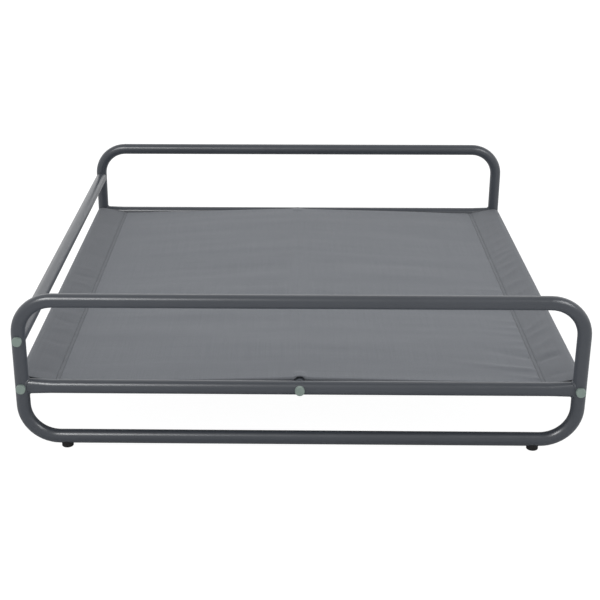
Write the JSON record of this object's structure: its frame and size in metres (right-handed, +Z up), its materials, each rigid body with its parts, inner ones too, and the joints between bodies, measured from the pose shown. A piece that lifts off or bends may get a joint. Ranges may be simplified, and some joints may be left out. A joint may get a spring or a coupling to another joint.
{
  "type": "dog bed with frame",
  "caption": "Raised pet bed: rounded tube loops at front and rear, joined by rails, carry a taut cloth sling; a top rail guards the left side and the right side is open.",
  "frame": {"origin": "on the floor, at the centre of the four feet", "axes": "+Z up, +Y from the front loop to the rear loop, +X towards the open side, so the top rail is at -X"},
  "size_m": [0.7716, 0.7974, 0.224],
  "materials": {
    "frame_paint": "semi-gloss dark grey powder coat",
    "zinc_steel": "zinc plated",
    "cap_plastic": "satin sage green",
    "foot_plastic": "matte black",
    "sling_cloth": "woven, coated, matte grey"
  },
  "bodies": {
    "root": {"front_loop": "frame_paint", "front_deck_bar": "frame_paint", "rear_loop": "frame_paint", "rear_deck_bar": "frame_paint", "left_top_rail": "frame_paint", "left_deck_rail": "frame_paint", "right_deck_rail": "frame_paint", "centre_deck_rail": "frame_paint", "front_left_top_plug": "zinc_steel", "front_left_top_bolt": "zinc_steel", "front_left_top_cap": "cap_plastic", "front_left_deck_plug": "zinc_steel", "front_left_deck_bolt": "zinc_steel", "front_left_deck_cap": "cap_plastic", "front_centre_deck_plug": "zinc_steel", "front_centre_deck_bolt": "zinc_steel", "front_centre_deck_cap": "cap_plastic", "front_right_deck_plug": "zinc_steel", "front_right_deck_bolt": "zinc_steel", "front_right_deck_cap": "cap_plastic", "front_left_foot": "foot_plastic", "front_right_foot": "foot_plastic", "rear_left_top_plug": "zinc_steel", "rear_left_top_bolt": "zinc_steel", "rear_left_top_cap": "cap_plastic", "rear_left_deck_plug": "zinc_steel", "rear_left_deck_bolt": "zinc_steel", "rear_left_deck_cap": "cap_plastic", "rear_centre_deck_plug": "zinc_steel", "rear_centre_deck_bolt": "zinc_steel", "rear_centre_deck_cap": "cap_plastic", "rear_right_deck_plug": "zinc_steel", "rear_right_deck_bolt": "zinc_steel", "rear_right_deck_cap": "cap_plastic", "rear_left_foot": "foot_plastic", "rear_right_foot": "foot_plastic", "sling": "sling_cloth"}
  },
  "joints": []
}
